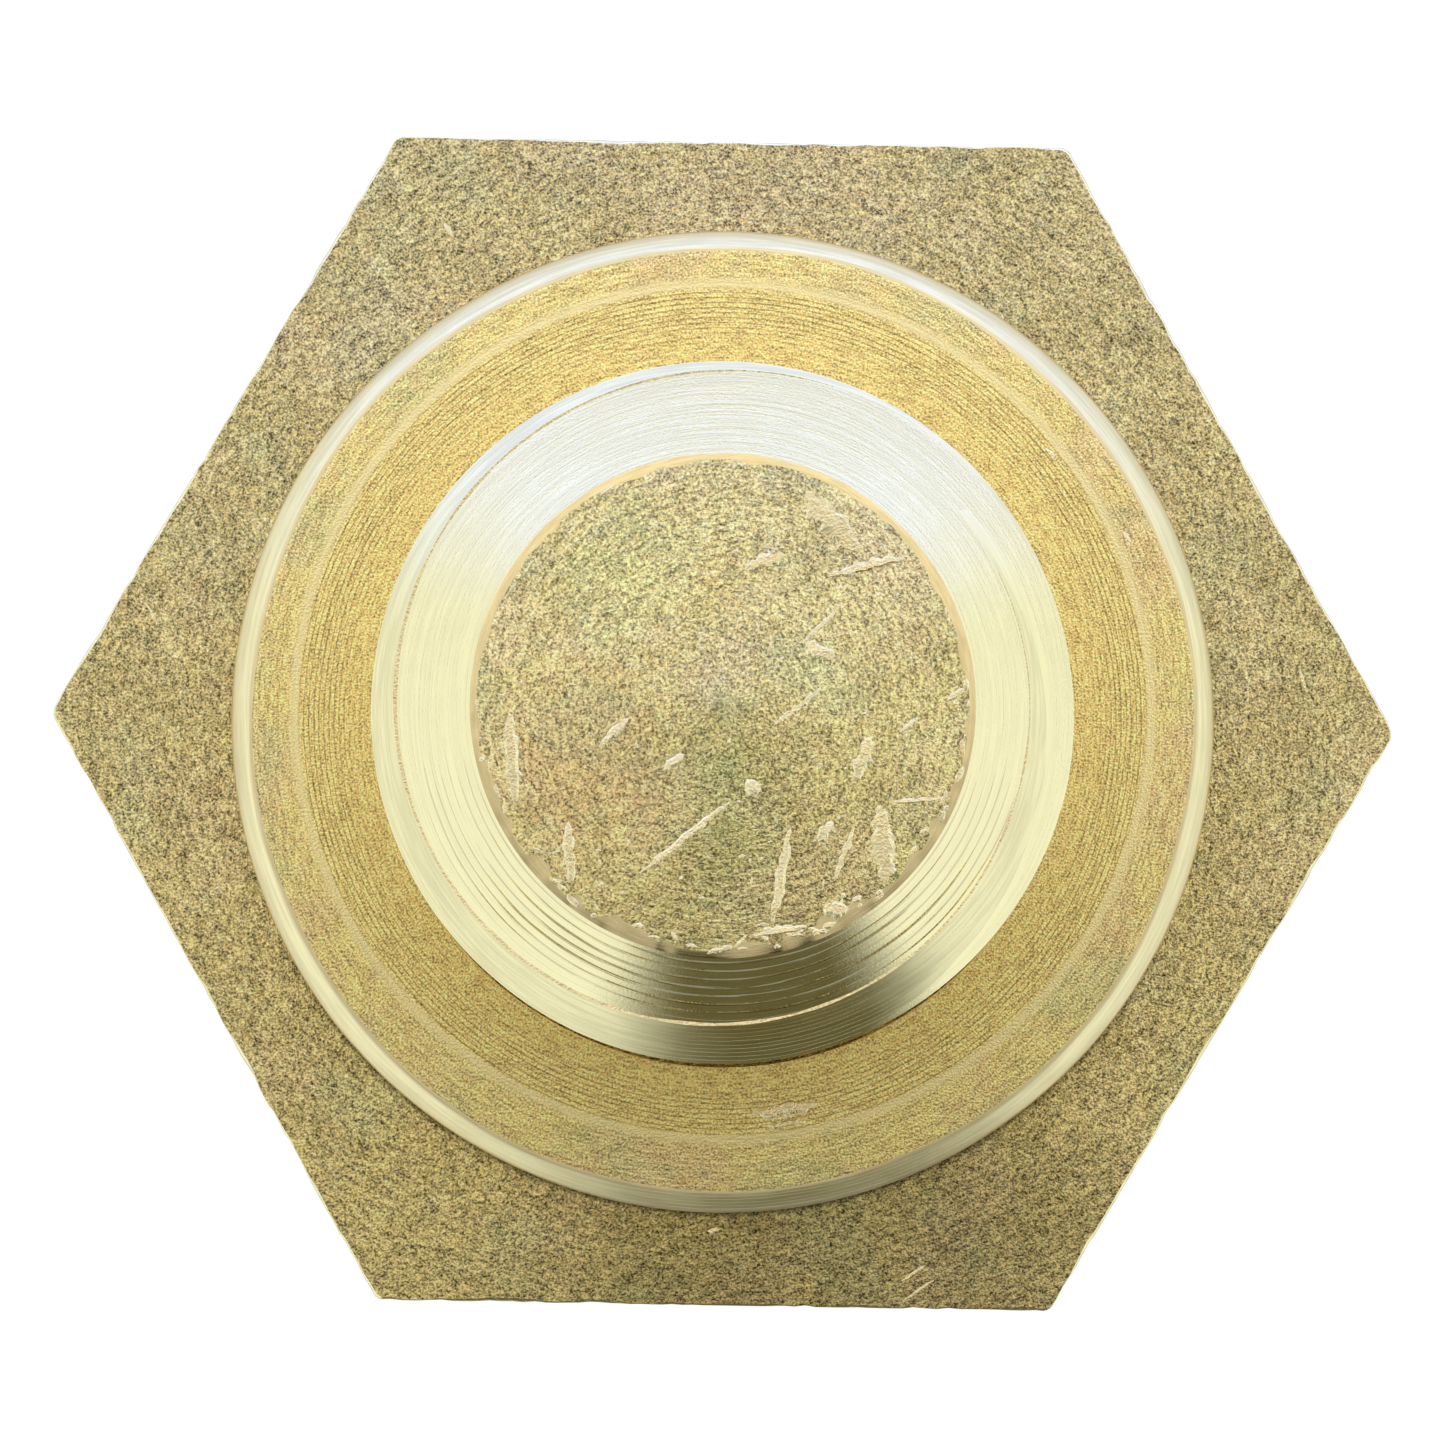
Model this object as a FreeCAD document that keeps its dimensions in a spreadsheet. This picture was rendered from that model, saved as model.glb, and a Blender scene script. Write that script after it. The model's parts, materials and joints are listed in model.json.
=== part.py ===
"""Screw plug for a pipe port: hexagon-head body with a parallel pipe thread, and its loose sealing ring.

The plug stands on its head. The frame's origin is the centre of the head's outer face, +Z runs up the
threaded shank, and two of the head's six flats face -Y and +Y. All sizes are in millimetres.
"""
import FreeCAD, Part
import math
import os

import Sketcher

# Driving dimensions: alias, value, meaning.
SIZES = [
    ("head_flats", 22.0, "hexagon, across flats"),
    ("head_height", 7.0, "hexagon, outer face to seat"),
    ("bevel_inset", 0.6, "flat circle on the head's outer face, in from the flats"),
    ("bevel_angle", 30.0, "slope of the outer corner bevel, degrees"),
    ("shank_length", 7.5, "seat to end of shank"),
    ("lead_chamfer", 1.93, "45 degree lead at the end of the shank"),
    ("crest_diameter", 12.95, "crests of the parallel pipe thread, size 1/4"),
    ("thread_pitch", 1.337, "19 threads per inch"),
    ("thread_depth", 0.856, "crest to root, measured on the radius"),
    ("thread_root", 0.223, "flat at the bottom of the thread groove"),
    ("flank_angle", 27.5, "each flank from square to the axis, degrees"),
    ("thread_start", 1.04, "seat to the middle of the groove where the cutter starts"),
    ("relief_depth", 0.07, "undercut below the thread root"),
    ("relief_length", 1.4, "seat to the foot of the relief's slope"),
    ("ring_outside", 18.5, "sealing ring, outside diameter"),
    ("ring_thickness", 1.0, "sealing ring, seat side to sealing side"),
    ("ring_clearance", 0.08, "ring bore over the thread crests, on the radius"),
    ("ring_chamfer", 0.35, "turned edge on the ring's sealing side"),
    ("ring_foot_break", 0.12, "small break on the ring's seat side"),
    ("runout", 1.0, "how far the bevel and thread cuts pass beyond the metal"),
    ("groove_overshoot", 0.1, "how far the thread groove's mouth stands outside the crests"),
]

doc = FreeCAD.newDocument("screw_plug")


def make_sheet():
    """Write the driving dimensions into the spreadsheet."""
    sheet = doc.addObject("Spreadsheet::Sheet", "Sizes")
    for row, (alias, value, meaning) in enumerate(SIZES, start=1):
        sheet.set("A%d" % row, meaning)
        sheet.set("B%d" % row, str(value))
        sheet.setAlias("B%d" % row, alias)
    doc.recompute()
    return sheet


def make_body(label):
    """Start a sub-part whose label names its file."""
    body = doc.addObject("PartDesign::Body", label)
    body.Label = label
    return body


def add_sketch(body, role, name):
    """Attach a sketch to one of the body's own origin planes."""
    plane = next(item for item in body.Origin.OriginFeatures if item.Role == role)
    sketch = body.newObject("Sketcher::SketchObject", name)
    sketch.AttachmentSupport = [(plane, "")]
    sketch.MapMode = "FlatFace"
    doc.recompute()
    return sketch


def draw_profile(sketch, corners):
    """Draw a closed outline; each corner is a pair of formulas for its radius and its height."""
    points = [FreeCAD.Vector(*[float(sketch.evalExpression(formula)) for formula in corner], 0)
              for corner in corners]
    count = len(points)
    for index, point in enumerate(points):
        sketch.addGeometry(Part.LineSegment(point, points[(index + 1) % count]), False)
    for index, (radius, height) in enumerate(corners):
        sketch.addConstraint(Sketcher.Constraint("Coincident", index, 2, (index + 1) % count, 1))
        for kind, axis, formula in (("DistanceX", -2, radius), ("DistanceY", -1, height)):
            if formula == "0":
                sketch.addConstraint(Sketcher.Constraint("PointOnObject", index, 1, axis))
                continue
            value = float(sketch.evalExpression(formula))
            number = sketch.addConstraint(Sketcher.Constraint(kind, -1, 1, index, 1, value))
            sketch.setExpression("Constraints[%d]" % number, formula)


def spin(body, kind, name, sketch):
    """Turn a profile a full circle about the upright axis: Revolution adds metal, Groove cuts it."""
    feature = body.newObject("PartDesign::" + kind, name)
    feature.Profile = sketch
    feature.ReferenceAxis = (sketch, ["V_Axis"])
    feature.Angle = 360
    sketch.Visibility = False
    doc.recompute()
    return feature


def draw_hexagon(sketch, corner_formula):
    """Draw a regular hexagon about the origin with one corner on +X."""
    reach = float(sketch.evalExpression(corner_formula))
    corners = [FreeCAD.Vector(reach * math.cos(math.radians(60 * side)),
                              reach * math.sin(math.radians(60 * side)), 0) for side in range(6)]
    for side, corner in enumerate(corners):
        sketch.addGeometry(Part.LineSegment(corner, corners[(side + 1) % 6]), False)
    circle = sketch.addGeometry(Part.Circle(FreeCAD.Vector(0, 0, 0), FreeCAD.Vector(0, 0, 1), reach), True)
    sketch.addConstraint(Sketcher.Constraint("Coincident", circle, 3, -1, 1))
    for side in range(6):
        sketch.addConstraint(Sketcher.Constraint("Coincident", side, 2, (side + 1) % 6, 1))
        sketch.addConstraint(Sketcher.Constraint("PointOnObject", side, 1, circle))
        if side:
            sketch.addConstraint(Sketcher.Constraint("Equal", 0, side))
    sketch.addConstraint(Sketcher.Constraint("PointOnObject", 0, 1, -1))
    number = sketch.addConstraint(Sketcher.Constraint("Radius", circle, reach))
    sketch.setExpression("Constraints[%d]" % number, corner_formula)


def add_hexagon_head(body):
    """Pad the hexagon from z = 0 up to the seat that the ring lies on."""
    sketch = add_sketch(body, "XY_Plane", "HeadOutline")
    draw_hexagon(sketch, "Sizes.head_flats / sqrt(3)")
    pad = body.newObject("PartDesign::Pad", "Head")
    pad.Profile = sketch
    pad.setExpression("Length", "Sizes.head_height")
    doc.recompute()


def bevel_head(body):
    """Cut the shallow cone that takes the points off the head's outer face."""
    sketch = add_sketch(body, "XZ_Plane", "BevelProfile")
    flat = "(Sizes.head_flats / 2 - Sizes.bevel_inset)"
    beyond = "(Sizes.head_flats / sqrt(3) + Sizes.runout)"
    draw_profile(sketch, [
        (flat, "0"),
        (beyond, "0"),
        (beyond, "(%s - %s) * tan(Sizes.bevel_angle * 1deg)" % (beyond, flat)),
    ])
    spin(body, "Groove", "HeadBevel", sketch)


def add_shank(body):
    """Turn the shank: thread relief above the seat, crest cylinder, 45 degree lead and flat end."""
    sketch = add_sketch(body, "XZ_Plane", "ShankProfile")
    end = "(Sizes.head_height + Sizes.shank_length)"
    crest = "(Sizes.crest_diameter / 2)"
    relief_cut = "(Sizes.thread_depth + Sizes.relief_depth)"
    relief = "(%s - %s)" % (crest, relief_cut)
    relief_top = "(Sizes.head_height + Sizes.relief_length)"
    draw_profile(sketch, [
        ("0", "Sizes.head_height"),
        (relief, "Sizes.head_height"),
        (relief, relief_top),
        (crest, "%s + %s" % (relief_top, relief_cut)),
        (crest, "%s - Sizes.lead_chamfer" % end),
        ("%s - Sizes.lead_chamfer" % crest, end),
        ("0", end),
    ])
    spin(body, "Revolution", "Shank", sketch)


def cut_thread(body):
    """Cut the right-hand thread groove; it starts in the relief and runs out past the shank's end."""
    sketch = add_sketch(body, "XZ_Plane", "ThreadGroove")
    middle = "(Sizes.head_height + Sizes.thread_start)"
    root = "(Sizes.crest_diameter / 2 - Sizes.thread_depth)"
    mouth = "(Sizes.crest_diameter / 2 + Sizes.groove_overshoot)"
    half_root = "(Sizes.thread_root / 2)"
    half_mouth = "(%s + (%s - %s) * tan(Sizes.flank_angle * 1deg))" % (half_root, mouth, root)
    draw_profile(sketch, [
        (root, "%s - %s" % (middle, half_root)),
        (mouth, "%s - %s" % (middle, half_mouth)),
        (mouth, "%s + %s" % (middle, half_mouth)),
        (root, "%s + %s" % (middle, half_root)),
    ])
    helix = body.newObject("PartDesign::SubtractiveHelix", "Thread")
    helix.Profile = sketch
    helix.ReferenceAxis = (sketch, ["V_Axis"])
    helix.Mode = 0
    helix.setExpression("Pitch", "Sizes.thread_pitch")
    helix.setExpression("Height", "Sizes.shank_length - Sizes.thread_start + Sizes.runout")
    sketch.Visibility = False
    doc.recompute()


def make_plug_body():
    """The head and shank, turned and threaded from one hexagon bar."""
    body = make_body("plug_body")
    add_hexagon_head(body)
    add_shank(body)
    before_bevel = body.Shape.Volume
    bevel_head(body)
    before_thread = body.Shape.Volume
    cut_thread(body)
    after_thread = body.Shape.Volume
    if not after_thread < before_thread < before_bevel:
        raise RuntimeError("the bevel or the thread groove cut nothing")
    return body


def make_sealing_ring():
    """The soft ring that lies on the seat and slips over the thread."""
    body = make_body("sealing_ring")
    sketch = add_sketch(body, "XZ_Plane", "RingProfile")
    bore = "Sizes.crest_diameter / 2 + Sizes.ring_clearance"
    outside = "Sizes.ring_outside / 2"
    draw_profile(sketch, [
        (bore, "0"),
        (outside + " - Sizes.ring_foot_break", "0"),
        (outside, "Sizes.ring_foot_break"),
        (outside, "Sizes.ring_thickness - Sizes.ring_chamfer"),
        (outside + " - Sizes.ring_chamfer", "Sizes.ring_thickness"),
        (bore, "Sizes.ring_thickness"),
    ])
    spin(body, "Revolution", "Ring", sketch)
    body.setExpression("Placement.Base.z", "Sizes.head_height")
    return body


def check(bodies):
    """Stop on any failed feature or bad solid."""
    doc.recompute()
    for item in doc.Objects:
        if "Invalid" in item.State or "Error" in item.State:
            raise RuntimeError("%s failed: %s" % (item.Label, item.State))
    for body in bodies:
        shape = body.Shape
        if shape.isNull() or not shape.isValid() or len(shape.Solids) != 1:
            raise RuntimeError("%s isn't one valid solid" % body.Label)


def main():
    make_sheet()
    bodies = [make_plug_body(), make_sealing_ring()]
    check(bodies)
    os.makedirs("parts", exist_ok=True)
    for body in bodies:
        body.Shape.exportStep("parts/%s.step" % body.Label)
        box = body.Shape.BoundBox
        print("%s: volume %.2f mm3, z %.3f to %.3f" % (body.Label, body.Shape.Volume, box.ZMin, box.ZMax))


main()
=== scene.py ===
"""Looks for a turned brass screw plug and its loose sealing ring.

The plug stands on its hexagon head with the threaded shank up. Lengths in the settings are millimetres;
the frame and every mesh are in metres.
"""
import json
import math

import bmesh
import bpy
import numpy as np
from bpy.props import FloatProperty, FloatVectorProperty, PointerProperty
from mathutils import Matrix, Vector, noise


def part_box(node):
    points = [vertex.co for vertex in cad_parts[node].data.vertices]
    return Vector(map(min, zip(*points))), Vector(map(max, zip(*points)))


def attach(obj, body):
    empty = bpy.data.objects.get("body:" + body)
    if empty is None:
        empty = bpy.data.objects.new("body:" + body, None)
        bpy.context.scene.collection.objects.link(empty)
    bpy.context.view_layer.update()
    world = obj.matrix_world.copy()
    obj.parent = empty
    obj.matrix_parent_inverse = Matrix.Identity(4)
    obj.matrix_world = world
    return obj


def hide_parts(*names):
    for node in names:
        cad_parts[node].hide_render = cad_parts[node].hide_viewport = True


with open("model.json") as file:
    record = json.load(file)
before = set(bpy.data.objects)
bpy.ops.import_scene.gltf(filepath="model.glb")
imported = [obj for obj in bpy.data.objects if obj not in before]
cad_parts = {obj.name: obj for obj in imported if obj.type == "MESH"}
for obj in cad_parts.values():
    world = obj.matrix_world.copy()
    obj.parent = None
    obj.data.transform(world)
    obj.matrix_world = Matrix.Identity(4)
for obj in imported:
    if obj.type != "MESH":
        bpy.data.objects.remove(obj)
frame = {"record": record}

bl_info = {
    "name": "Screw Plug Looks",
    "version": (1, 0, 0),
    "blender": (4, 5, 0),
    "location": "View3D > Sidebar > Screw Plug",
    "description": "Builds a turned brass screw plug with its sealing ring, nicks and studio",
    "category": "Object",
}

MM = 0.001
NICK_SINK = 0.004  # how far a nick's sides reach under the surface, mm
INSIDE = 0.02  # how far the ring's top stays under the frame's, so that its nicks stay inside the box, mm
FLAT_CROWN = 0.02  # height of the nicks on the head and the ring, mm
FLAT_WIDEN = 1.3  # how much wider than given the nicks on the head and the ring are
END_WIDEN = 1.9  # the same on the end face
SHARP = math.radians(22)  # edges above this angle are shaded sharp
FLOOR_HEIGHT = -0.01  # just under the head, mm
BURR_FOOT = 0.20  # the burr begins this far above the lead's foot, mm
BURR_OPEN = 0.10  # and only where the groove is open by this much, mm
CORNER_SHORT = 0.04  # how much the hexagon's corners are worn short, mm
OUTLINE_RAG = 0.03  # how far the hexagon's outline is ragged, mm
BORE_BREAK = 0.02  # break at both ends of the ring's bore, mm
WELD_REACH = 0.0002  # points closer than this are one point, mm
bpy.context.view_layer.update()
BODY_LOW, BODY_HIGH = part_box("plug_body")
RING_LOW, RING_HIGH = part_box("sealing_ring")
THREAD_MOUNT = next(m for m in frame["record"]["mounts"] if m["name"] == "thread")

# The larger scratches and dents, roughly placed: direction round the axis in degrees, distance from the
# axis as a share of the face's radius, heading in degrees, length and width in millimetres.
END_MARKS = [
    (60, 0.85, -45, 1.5, 0.25),
    (45, 0.80, 15, 1.5, 0.10),
    (75, 0.60, 20, 0.8, 0.16),
    (40, 0.50, 45, 1.0, 0.05),
    (30, 0.45, -35, 0.6, 0.15),
    (0, 0.30, 40, 1.2, 0.06),
    (-5, 0.75, 40, 0.5, 0.05),
    (-20, 0.60, 70, 0.9, 0.14),
    (-25, 0.87, 5, 1.0, 0.05),
    (-40, 0.85, 95, 1.5, 0.20),
    (-50, 0.65, 55, 0.5, 0.13),
    (-50, 0.77, 70, 1.1, 0.06),
    (-60, 0.93, 0, 0.5, 0.18),
    (-70, 0.35, -65, 0.4, 0.15),
    (-70, 0.72, 80, 1.8, 0.10),
    (-75, 0.93, 10, 1.1, 0.07),
    (-105, 0.55, 40, 2.2, 0.07),
    (-130, 0.30, 40, 0.5, 0.09),
    (-135, 0.85, 95, 1.2, 0.12),
    (-165, 0.45, 45, 0.8, 0.08),
    (-165, 0.87, 95, 1.7, 0.14),
]

HEAD_MARKS = [
    (-70, 1.00, 35, 0.6, 0.05),
    (-70, 1.03, 35, 0.8, 0.04),
    (-90, 0.87, 10, 0.3, 0.10),
    (120, 0.97, -55, 0.4, 0.06),
    (170, 1.00, -60, 0.5, 0.04),
    (5, 1.00, -70, 0.5, 0.06),
]

RING_MARKS = [
    (-80, 0.80, 10, 1.3, 0.20),
    (-80, 0.83, 10, 0.8, 0.10),
    (40, 0.86, -50, 0.4, 0.10),
    (25, 0.90, -70, 0.4, 0.08),
]


# ---------------------------------------------------------------- settings

class PlugShape(bpy.types.PropertyGroup):
    """Sizes of the turned body and ring; the outer sizes come from the frame."""

    head_flats: FloatProperty(
        name="Across flats", description="Hexagon width across flats, mm",
        default=(BODY_HIGH.y - BODY_LOW.y) / MM, min=1.0)
    seat_height: FloatProperty(
        name="Seat height", description="Head's outer face to the seat under the ring, mm",
        default=RING_LOW.z / MM, min=0.5)
    overall_height: FloatProperty(
        name="Overall height", description="Head's outer face to the end of the shank, mm",
        default=BODY_HIGH.z / MM, min=1.0)
    crest_radius: FloatProperty(
        name="Crest radius", description="Radius of the thread crests, mm",
        default=THREAD_MOUNT["dims"]["r_mm"], min=0.5)
    pitch: FloatProperty(
        name="Pitch", description="One thread turn along the axis, mm", default=1.337, min=0.2)
    thread_depth: FloatProperty(
        name="Thread depth", description="Crest to root on the radius, mm", default=0.856, min=0.05)
    thread_root: FloatProperty(
        name="Thread root", description="Flat at the bottom of the groove, mm", default=0.223, min=0.0)
    flank_angle: FloatProperty(
        name="Flank angle", description="Each flank from square to the axis",
        default=math.radians(27.5), subtype="ANGLE")
    thread_start: FloatProperty(
        name="Thread start", description="Seat to the middle of the groove's first turn, mm", default=1.04)
    lead_chamfer: FloatProperty(
        name="Lead chamfer", description="45 degree lead at the end of the shank, mm", default=1.93, min=0.0)
    relief_depth: FloatProperty(
        name="Relief depth", description="Undercut below the thread root, mm", default=0.07, min=0.0)
    relief_length: FloatProperty(
        name="Relief length", description="Seat to the foot of the relief's slope, mm", default=1.4)
    bevel_inset: FloatProperty(
        name="Bevel inset", description="Outer face's flat circle, in from the flats, mm", default=0.6)
    bevel_angle: FloatProperty(
        name="Bevel angle", description="Slope of the head's corner bevel",
        default=math.radians(30), subtype="ANGLE")
    ring_outside: FloatProperty(
        name="Ring outside", description="Outer radius of the sealing ring, mm",
        default=(RING_HIGH.x - RING_LOW.x) / 2 / MM, min=0.5)
    ring_thickness: FloatProperty(
        name="Ring thickness", description="Seat side to sealing side, mm",
        default=(RING_HIGH.z - RING_LOW.z) / MM, min=0.1)
    ring_clearance: FloatProperty(
        name="Ring clearance", description="Ring bore over the crests on the radius, mm", default=0.03)
    ring_chamfer: FloatProperty(
        name="Ring chamfer", description="Polished outer edge of the sealing side, mm", default=0.35)
    ring_foot_break: FloatProperty(
        name="Ring foot break", description="Small break at the ring's foot, mm", default=0.12)
    edge_round: FloatProperty(
        name="Edge round", description="Softening of the hexagon's edges, mm", default=0.035)
    rim_break: FloatProperty(
        name="Rim break", description="Drop of the end's broken rim, mm", default=0.03)
    burr: FloatProperty(
        name="Burr", description="Half width of the lip along the thread's start, mm", default=0.04, min=0.0)
    rim_wear: FloatProperty(
        name="Rim wear", description="How far the break eats into the end face, mm", default=0.13)
    nick_height: FloatProperty(
        name="Nick height", description="How far nicks stand out of the end face, mm", default=0.03)


class PlugFinish(bpy.types.PropertyGroup):
    """Colours of the brass surfaces."""

    matte_brass: FloatVectorProperty(
        name="Matte brass", description="Dull turned faces of the head", subtype="COLOR",
        size=3, min=0, max=1, default=(0.63, 0.445, 0.155))
    ring_brass: FloatVectorProperty(
        name="Ring brass", description="Fine turned face of the ring", subtype="COLOR",
        size=3, min=0, max=1, default=(0.87, 0.65, 0.235))
    # Painted reflection, not a burnish: a golden tint on the ring's face near the shank that stands in for
    # the thread's reflection there.
    thread_reflection_gold: FloatVectorProperty(
        name="Golden brass", description="Burnished inner zone of the ring", subtype="COLOR",
        size=3, min=0, max=1, default=(0.90, 0.635, 0.215))
    bright_brass: FloatVectorProperty(
        name="Bright brass", description="Polished chamfers and lead", subtype="COLOR",
        size=3, min=0, max=1, default=(0.88, 0.72, 0.38))
    end_brass: FloatVectorProperty(
        name="End brass", description="Dull flat end of the shank", subtype="COLOR",
        size=3, min=0, max=1, default=(0.72, 0.53, 0.195))
    pink_stain: FloatVectorProperty(
        name="Pink stain", description="Coppery tarnish patches", subtype="COLOR",
        size=3, min=0, max=1, default=(0.76, 0.50, 0.26))
    green_stain: FloatVectorProperty(
        name="Green stain", description="Greenish tarnish patches", subtype="COLOR",
        size=3, min=0, max=1, default=(0.50, 0.53, 0.25))
    fresh_brass: FloatVectorProperty(
        name="Fresh brass", description="Bare metal of the nicks and the burr", subtype="COLOR",
        size=3, min=0, max=1, default=(0.93, 0.77, 0.42))


class PlugStage(bpy.types.PropertyGroup):
    """Camera, floor and light."""

    camera_distance: FloatProperty(
        name="Camera distance", description="Camera to the seat, mm", default=200.0, min=20.0)
    camera_tilt: FloatProperty(
        name="Camera tilt", description="Camera off the axis, towards -Y",
        default=math.radians(2.4), subtype="ANGLE")
    camera_roll: FloatProperty(
        name="Camera roll", description="Turn of the hexagon in the frame",
        default=math.radians(0.95), subtype="ANGLE")
    frame_width: FloatProperty(
        name="Frame width", description="What the frame spans at the seat, mm", default=27.30, min=5.0)
    floor_radius: FloatProperty(
        name="Floor radius", description="Round pale floor, mm", default=170.0, min=20.0)
    wall_light: FloatProperty(
        name="Wall light", description="Brightness of the light tent's sides", default=1.06, min=0.0)
    back_top_light: FloatProperty(
        name="Back top light", description="Brightness overhead, towards +Y", default=1.12, min=0.0)
    front_top_light: FloatProperty(
        name="Front top light", description="Brightness overhead, towards -Y", default=0.42, min=0.0)
    shade: FloatProperty(
        name="Shade", description="Share of light left at the tent's open front", default=0.125, min=0.0)


# ---------------------------------------------------------------- mesh helpers

def column_angles():
    """Angles of the mesh columns: a degree apart, closer at the hexagon's six corners."""
    close = [0.0, 0.2, 0.45, 0.7]
    sextant = close + list(range(1, 60)) + [60 - angle for angle in reversed(close[1:])]
    return np.radians([60 * side + angle for side in range(6) for angle in sextant])


def ring_noise(angles, lumps, seed):
    """Smooth noise from -1 to 1 round a circle, with about that many lumps."""
    reach = lumps / (2 * math.pi)
    return np.array([noise.noise(Vector((reach * math.cos(a), reach * math.sin(a), 7.3 * seed)))
                     for a in angles]) * 2


class Skin:
    """Gathers points and faces, in millimetres, and turns them into one welded mesh."""

    def __init__(self, angles):
        self.angles = angles
        self.points = []
        self.faces = []
        self.slots = []

    def row(self, radius, height):
        """Add a closed row round the axis and return the numbers of its points."""
        start = len(self.points)
        radius = np.broadcast_to(radius, self.angles.shape)
        height = np.broadcast_to(height, self.angles.shape)
        rounds = np.stack([radius * np.cos(self.angles), radius * np.sin(self.angles), height], axis=1)
        self.points.extend(rounds.tolist())
        return np.arange(start, start + len(self.angles))

    def band(self, low, high, slot):
        """Join two rows with quads that face out when high lies above or inside low."""
        after_low, after_high = np.roll(low, -1), np.roll(high, -1)
        for quad in zip(low, after_low, after_high, high):
            self.faces.append([int(v) for v in quad])
            self.slots.append(slot)

    def profile(self, steps):
        """Add bands through (radius, height, slot) steps; a step's slot is the band that ends there."""
        rows = [self.row(radius, height) for radius, height, _ in steps]
        for index in range(1, len(steps)):
            self.band(rows[index - 1], rows[index], steps[index][2])
        return rows

    def fan(self, row, height, slot, up):
        """Close a row with a fan to a point on the axis."""
        self.points.append([0.0, 0.0, float(height)])
        tip = len(self.points) - 1
        for a, b in zip(row, np.roll(row, -1)):
            self.faces.append([int(a), int(b), tip] if up else [int(b), int(a), tip])
            self.slots.append(slot)

    def build(self, name, materials, sharp_angle):
        """Make the welded, shaded object."""
        mesh = bpy.data.meshes.new(name)
        mesh.from_pydata((np.array(self.points) * MM).tolist(), [], self.faces)
        for material in materials:
            mesh.materials.append(material)
        mesh.polygons.foreach_set("material_index", self.slots)
        weld(mesh)
        mesh.polygons.foreach_set("use_smooth", [True] * len(mesh.polygons))
        mesh.set_sharp_from_angle(angle=sharp_angle)
        mesh.update()
        return placed(mesh)


def placed(mesh):
    """Put a mesh in the scene as an object of the same name."""
    piece = bpy.data.objects.new(mesh.name, mesh)
    bpy.context.scene.collection.objects.link(piece)
    return piece


def sliver_mesh(name, points, faces):
    """A mesh in the fresh nick finish from points in millimetres."""
    mesh = bpy.data.meshes.new(name)
    mesh.from_pydata([(x * MM, y * MM, z * MM) for x, y, z in points], [], faces)
    finish = bpy.context.scene.plug_finish
    mesh.materials.append(bpy.data.materials.get("fresh_nicks") or nick_material(finish))
    return mesh


def weld(mesh, outwards=False):
    """Merge points that coincide and drop the faces that vanish with them; turn closed pieces outwards."""
    work = bmesh.new()
    work.from_mesh(mesh)
    bmesh.ops.remove_doubles(work, verts=work.verts, dist=WELD_REACH * MM)
    bmesh.ops.dissolve_degenerate(work, edges=work.edges, dist=WELD_REACH / 2 * MM)
    if outwards:
        bmesh.ops.recalc_face_normals(work, faces=work.faces)
    work.to_mesh(mesh)
    work.free()


def blend_steps(start, end, count):
    """Evenly spaced values from start to end, both included."""
    return [start + (end - start) * step / (count - 1) for step in range(count)]


# ---------------------------------------------------------------- worn end

def rim_wear(shape, angles):
    """How ragged the end's rim is round the axis, in millimetres; most at the -Y side."""
    worn = 1 + 0.6 * np.cos(angles + math.radians(100))
    chips = np.clip(ring_noise(angles, 64, 2), 0, 1)
    lumps = np.clip(ring_noise(angles, 26, 3), 0, 1)
    return shape.rim_wear * (0.45 + worn * (0.9 * chips + 0.8 * lumps))


def rim_radii(shape, wear):
    """Radii where the broken rim leaves the end face and where it meets the lead."""
    rim = shape.crest_radius - shape.lead_chamfer
    return rim - wear, rim + shape.nick_height + shape.rim_break


def end_height(shape, x, y):
    """Height of the worn end face at a point."""
    inner, outer = rim_radii(shape, rim_wear(shape, np.array([math.atan2(y, x)]))[0])
    part = min(max((math.hypot(x, y) - inner) / (outer - inner), 0.0), 1.0)
    return shape.overall_height - shape.nick_height - shape.rim_break * part


def laid_out(marks, face_radius):
    """Marks given by direction and heading, as strokes from x, y to x, y with a width."""
    strokes = []
    for direction, share, heading, length, width in marks:
        turn, lean = math.radians(direction), math.radians(heading)
        middle = Vector((math.cos(turn), math.sin(turn))) * share * face_radius
        reach = Vector((math.cos(lean), math.sin(lean))) * length / 2
        strokes.append((*(middle - reach), *(middle + reach), width))
    return strokes


def stray_nicks(shape):
    """Small flecks over the end face and chips along its rim, thickest at the -Y side."""
    dice = np.random.RandomState(11)
    rim = shape.crest_radius - shape.lead_chamfer
    strokes = []
    for number in range(150):
        on_rim = number < 60
        if on_rim:
            turn = math.radians(dice.normal(-95, 55))
            radius = rim - abs(dice.normal(0, 0.14)) - 0.04
            heading = turn + math.pi / 2 + dice.normal(0, 0.5)
            length, width = dice.uniform(0.14, 0.45), dice.uniform(0.02, 0.06)
        else:
            turn = dice.uniform(-math.pi, math.pi)
            radius = rim * 0.92 * math.sqrt(dice.uniform(0, 1))
            heading = dice.uniform(0, math.pi)
            length, width = dice.uniform(0.06, 0.24), dice.uniform(0.015, 0.035)
        x, y = radius * math.cos(turn), radius * math.sin(turn)
        reach = Vector((math.cos(heading), math.sin(heading))) * length / 2
        if max(math.hypot(x + reach.x, y + reach.y), math.hypot(x - reach.x, y - reach.y)) < rim:
            strokes.append((x - reach.x, y - reach.y, x + reach.x, y + reach.y, width))
    return strokes


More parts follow.
